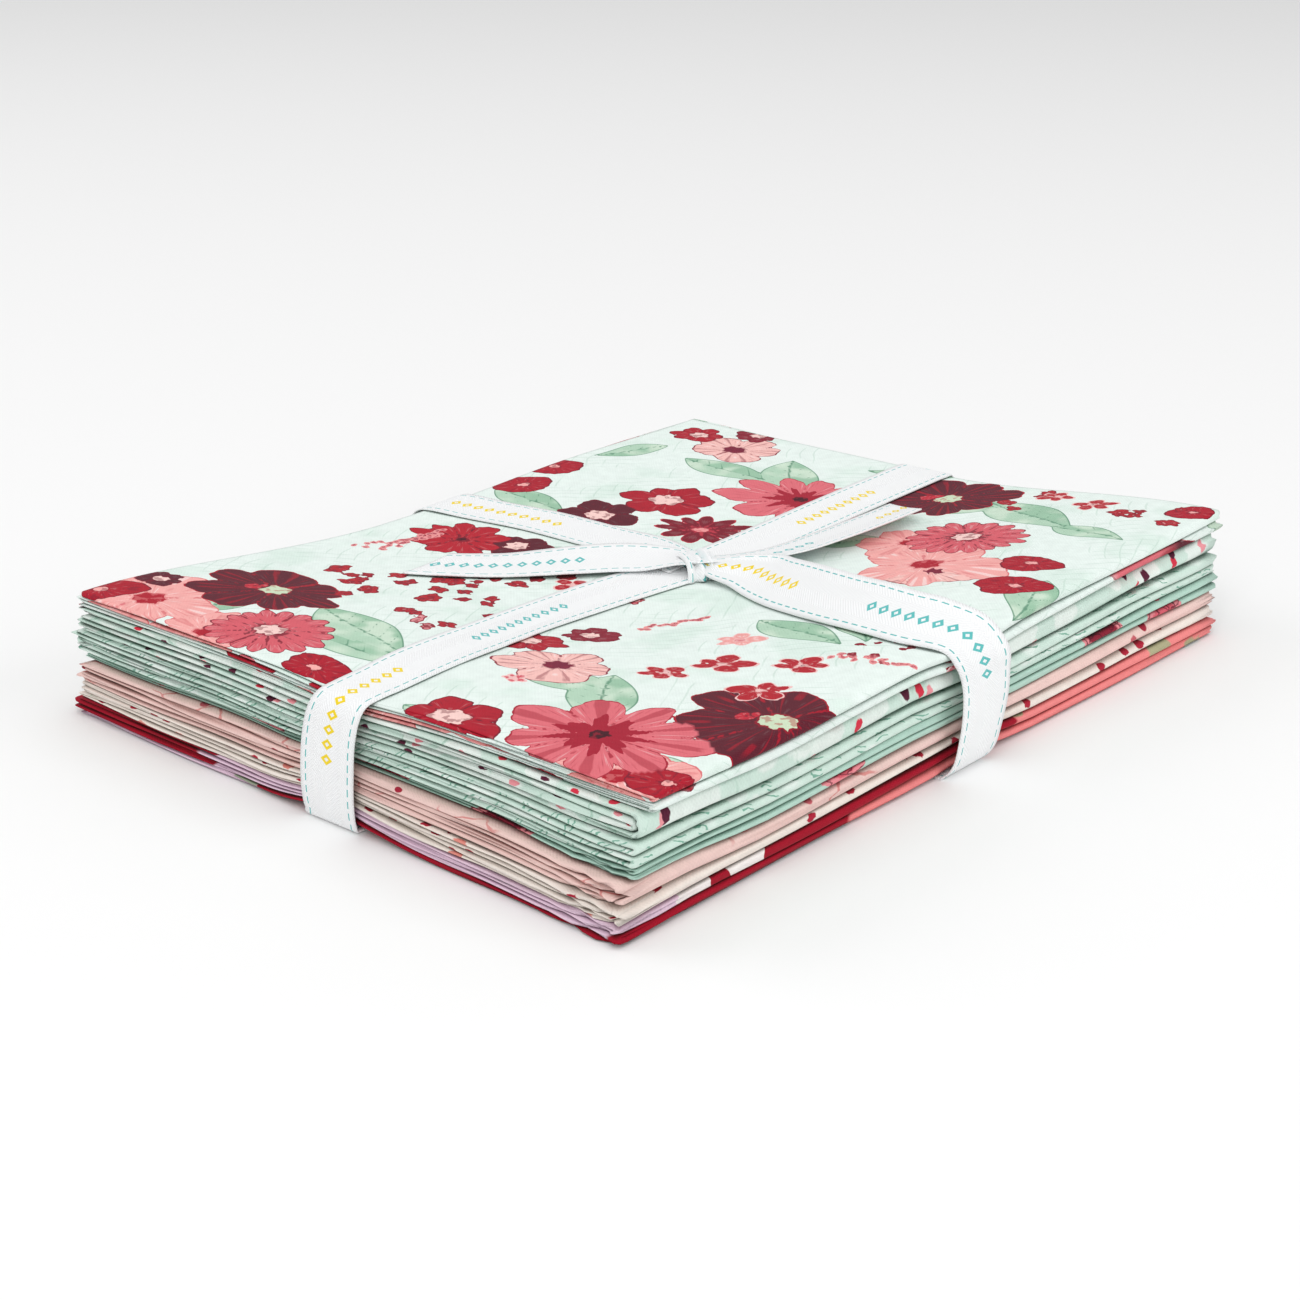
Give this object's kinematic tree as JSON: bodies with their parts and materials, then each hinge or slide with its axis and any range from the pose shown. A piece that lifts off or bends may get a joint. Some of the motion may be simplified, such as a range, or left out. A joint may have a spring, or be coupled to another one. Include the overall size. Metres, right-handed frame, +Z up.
{
  "type": "folded fabric bundle",
  "caption": "Flat stack of folded quilting cottons tied crosswise with a printed ribbon whose two free ends lift at the knot.",
  "frame": {"origin": "middle of the underside, at the bottom centre of the bounding box", "axes": "+Z up; Y along the longer side; the thin rolls of the folded ends face -Y and the fat panel folds face +X"},
  "size_m": [0.2256, 0.2906, 0.0423],
  "materials": {
    "cut_1_cloth": "plain-weave quilting cotton, pale mint with large flowers",
    "cut_2_cloth": "plain-weave quilting cotton, mint with white blossoms and dark cherries",
    "cut_3_cloth": "plain-weave quilting cotton, mint with green brush strokes",
    "cut_4_cloth": "plain-weave quilting cotton, mint green with sparse dark flowers",
    "cut_5_cloth": "plain-weave quilting cotton, blush pink with coral dashes",
    "cut_6_cloth": "plain-weave quilting cotton, cream with small red and coral petals",
    "cut_7_cloth": "plain-weave quilting cotton, crimson with very large pale petals",
    "ribbon": "white cotton herringbone twill ribbon with dashed teal edges"
  },
  "bodies": {
    "tied_stack": {"cut_1_mint_bouquet": "cut_1_cloth", "cut_2_mint_cherry": "cut_2_cloth", "cut_3_mint_sprig": "cut_3_cloth", "cut_4_plain_mint": "cut_4_cloth", "cut_5_blush_dash": "cut_5_cloth", "cut_6_cream_petal": "cut_6_cloth", "cut_7_crimson_poppy": "cut_7_cloth", "ribbon_lengthwise_loop": "ribbon", "ribbon_crosswise_loop": "ribbon", "ribbon_knot": "ribbon"},
    "left_tail": {"ribbon_left_tail": "ribbon"},
    "right_tail": {"ribbon_right_tail": "ribbon"}
  },
  "joints": [
    {"name": "left_tail_lift", "type": "hinge", "parent": "tied_stack", "child": "left_tail", "pos_m": [-0.01439, 0.00154, 0.0336], "axis": [-0.6428, 0.766, 0], "range_deg": [0, 90]},
    {"name": "right_tail_lift", "type": "hinge", "parent": "tied_stack", "child": "right_tail", "pos_m": [-0.00289, 0.0203, 0.0336], "axis": [0.9744, -0.225, 0], "range_deg": [0, 90]}
  ]
}
